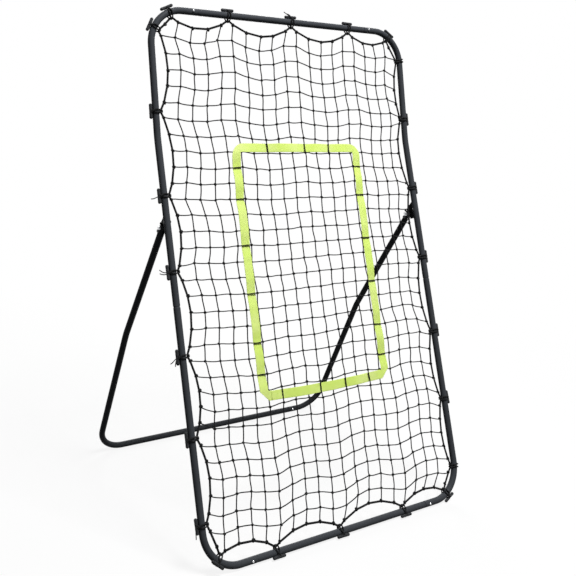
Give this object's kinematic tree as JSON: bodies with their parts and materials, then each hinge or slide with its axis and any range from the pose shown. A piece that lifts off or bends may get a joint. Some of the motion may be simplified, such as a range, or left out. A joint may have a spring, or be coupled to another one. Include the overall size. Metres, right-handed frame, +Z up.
{
  "type": "pitch back rebounder",
  "caption": "Tall black tube frame leaning on a folding rear leg, with a knotted net held by elastic loops and toggles and a lime webbing strike zone.",
  "frame": {"origin": "middle of the object's box, at floor level", "axes": "+X across to the right as seen from the front, +Y to the rear where the leg stands, +Z up"},
  "size_m": [1.093, 0.8668, 1.6485],
  "materials": {
    "black_tube": "satin black powder coat on steel tube",
    "black_plate": "satin black powder coat on flat steel",
    "bright_steel": "zinc-plated steel fasteners",
    "button_steel": "bright plated snap buttons",
    "spring_steel": "oiled spring steel",
    "net_twine": "black knotted twine",
    "border_rope": "black braided border rope",
    "elastic_cord": "black braided elastic cord",
    "lime_webbing": "lime woven webbing",
    "black_plastic": "black moulded plastic toggles"
  },
  "bodies": {
    "frame": {"top_crossbar": "black_tube", "bottom_crossbar": "black_tube", "upper_left_tube": "black_tube", "upper_right_tube": "black_tube", "lower_left_tube": "black_tube", "lower_right_tube": "black_tube", "left_angle_plate": "black_plate", "right_angle_plate": "black_plate", "bracket_rivets": "bright_steel", "net": "net_twine", "border_rope": "border_rope", "target_ribbon": "lime_webbing", "top_left_button_spring": "spring_steel", "top_right_button_spring": "spring_steel", "bottom_left_button_spring": "spring_steel", "bottom_right_button_spring": "spring_steel", "left_side_button_spring": "spring_steel", "right_side_button_spring": "spring_steel", "top_toggles": "black_plastic", "top_loops": "elastic_cord", "bottom_toggles": "black_plastic", "bottom_loops": "elastic_cord", "left_toggles": "black_plastic", "left_loops": "elastic_cord", "right_toggles": "black_plastic", "right_loops": "elastic_cord", "corner_toggles": "black_plastic", "corner_loops": "elastic_cord"},
    "leg": {"left_leg_tube": "black_tube", "right_leg_tube": "black_tube", "pivot_bolts": "bright_steel", "pivot_nuts": "bright_steel", "pivot_washers": "bright_steel", "stop_rivets": "bright_steel", "left_lock_spring": "spring_steel", "right_lock_spring": "spring_steel", "rear_bar_button_spring": "spring_steel"},
    "left_lock": {"left_lock_pin": "bright_steel", "left_lock_plunger": "bright_steel"},
    "right_lock": {"right_lock_pin": "bright_steel", "right_lock_plunger": "bright_steel"},
    "top_left_button": {"top_left_button": "button_steel"},
    "top_right_button": {"top_right_button": "button_steel"},
    "bottom_left_button": {"bottom_left_button": "button_steel"},
    "bottom_right_button": {"bottom_right_button": "button_steel"},
    "left_side_button": {"left_side_button": "button_steel"},
    "right_side_button": {"right_side_button": "button_steel"},
    "rear_bar_button": {"rear_bar_button": "button_steel"}
  },
  "joints": [
    {"name": "leg_fold", "type": "hinge", "parent": "frame", "child": "leg", "pos_m": [0, -0.019, 0.95913], "axis": [-1, 0, 0], "range_deg": [0, 45]},
    {"name": "left_lock_pull", "type": "slide", "parent": "leg", "child": "left_lock", "axis": [0, 0.4841, -0.875], "range_m": [0, 0.011], "stiffness_N_per_m": 900, "springref_m": -0.008, "deforming": ["left_lock_spring"]},
    {"name": "right_lock_pull", "type": "slide", "parent": "leg", "child": "right_lock", "axis": [0, 0.4841, -0.875], "range_m": [0, 0.011], "stiffness_N_per_m": 900, "springref_m": -0.008, "deforming": ["right_lock_spring"]},
    {"name": "top_left_button_press", "type": "slide", "parent": "frame", "child": "top_left_button", "axis": [0, 0.9382, -0.3461], "range_m": [0, 0.0046], "stiffness_N_per_m": 1500, "springref_m": -0.002, "deforming": ["top_left_button_spring"]},
    {"name": "top_right_button_press", "type": "slide", "parent": "frame", "child": "top_right_button", "axis": [0, 0.9382, -0.3461], "range_m": [0, 0.0046], "stiffness_N_per_m": 1500, "springref_m": -0.002, "deforming": ["top_right_button_spring"]},
    {"name": "bottom_left_button_press", "type": "slide", "parent": "frame", "child": "bottom_left_button", "axis": [0, 0.9382, -0.3461], "range_m": [0, 0.0046], "stiffness_N_per_m": 1500, "springref_m": -0.002, "deforming": ["bottom_left_button_spring"]},
    {"name": "bottom_right_button_press", "type": "slide", "parent": "frame", "child": "bottom_right_button", "axis": [0, 0.9382, -0.3461], "range_m": [0, 0.0046], "stiffness_N_per_m": 1500, "springref_m": -0.002, "deforming": ["bottom_right_button_spring"]},
    {"name": "left_side_button_press", "type": "slide", "parent": "frame", "child": "left_side_button", "axis": [0, -0.9382, 0.3461], "range_m": [0, 0.0046], "stiffness_N_per_m": 1500, "springref_m": -0.002, "deforming": ["left_side_button_spring"]},
    {"name": "right_side_button_press", "type": "slide", "parent": "frame", "child": "right_side_button", "axis": [0, -0.9382, 0.3461], "range_m": [0, 0.0046], "stiffness_N_per_m": 1500, "springref_m": -0.002, "deforming": ["right_side_button_spring"]},
    {"name": "rear_bar_button_press", "type": "slide", "parent": "leg", "child": "rear_bar_button", "axis": [0, 0.9382, -0.3461], "range_m": [0, 0.0046], "stiffness_N_per_m": 1500, "springref_m": -0.002, "deforming": ["rear_bar_button_spring"]}
  ]
}
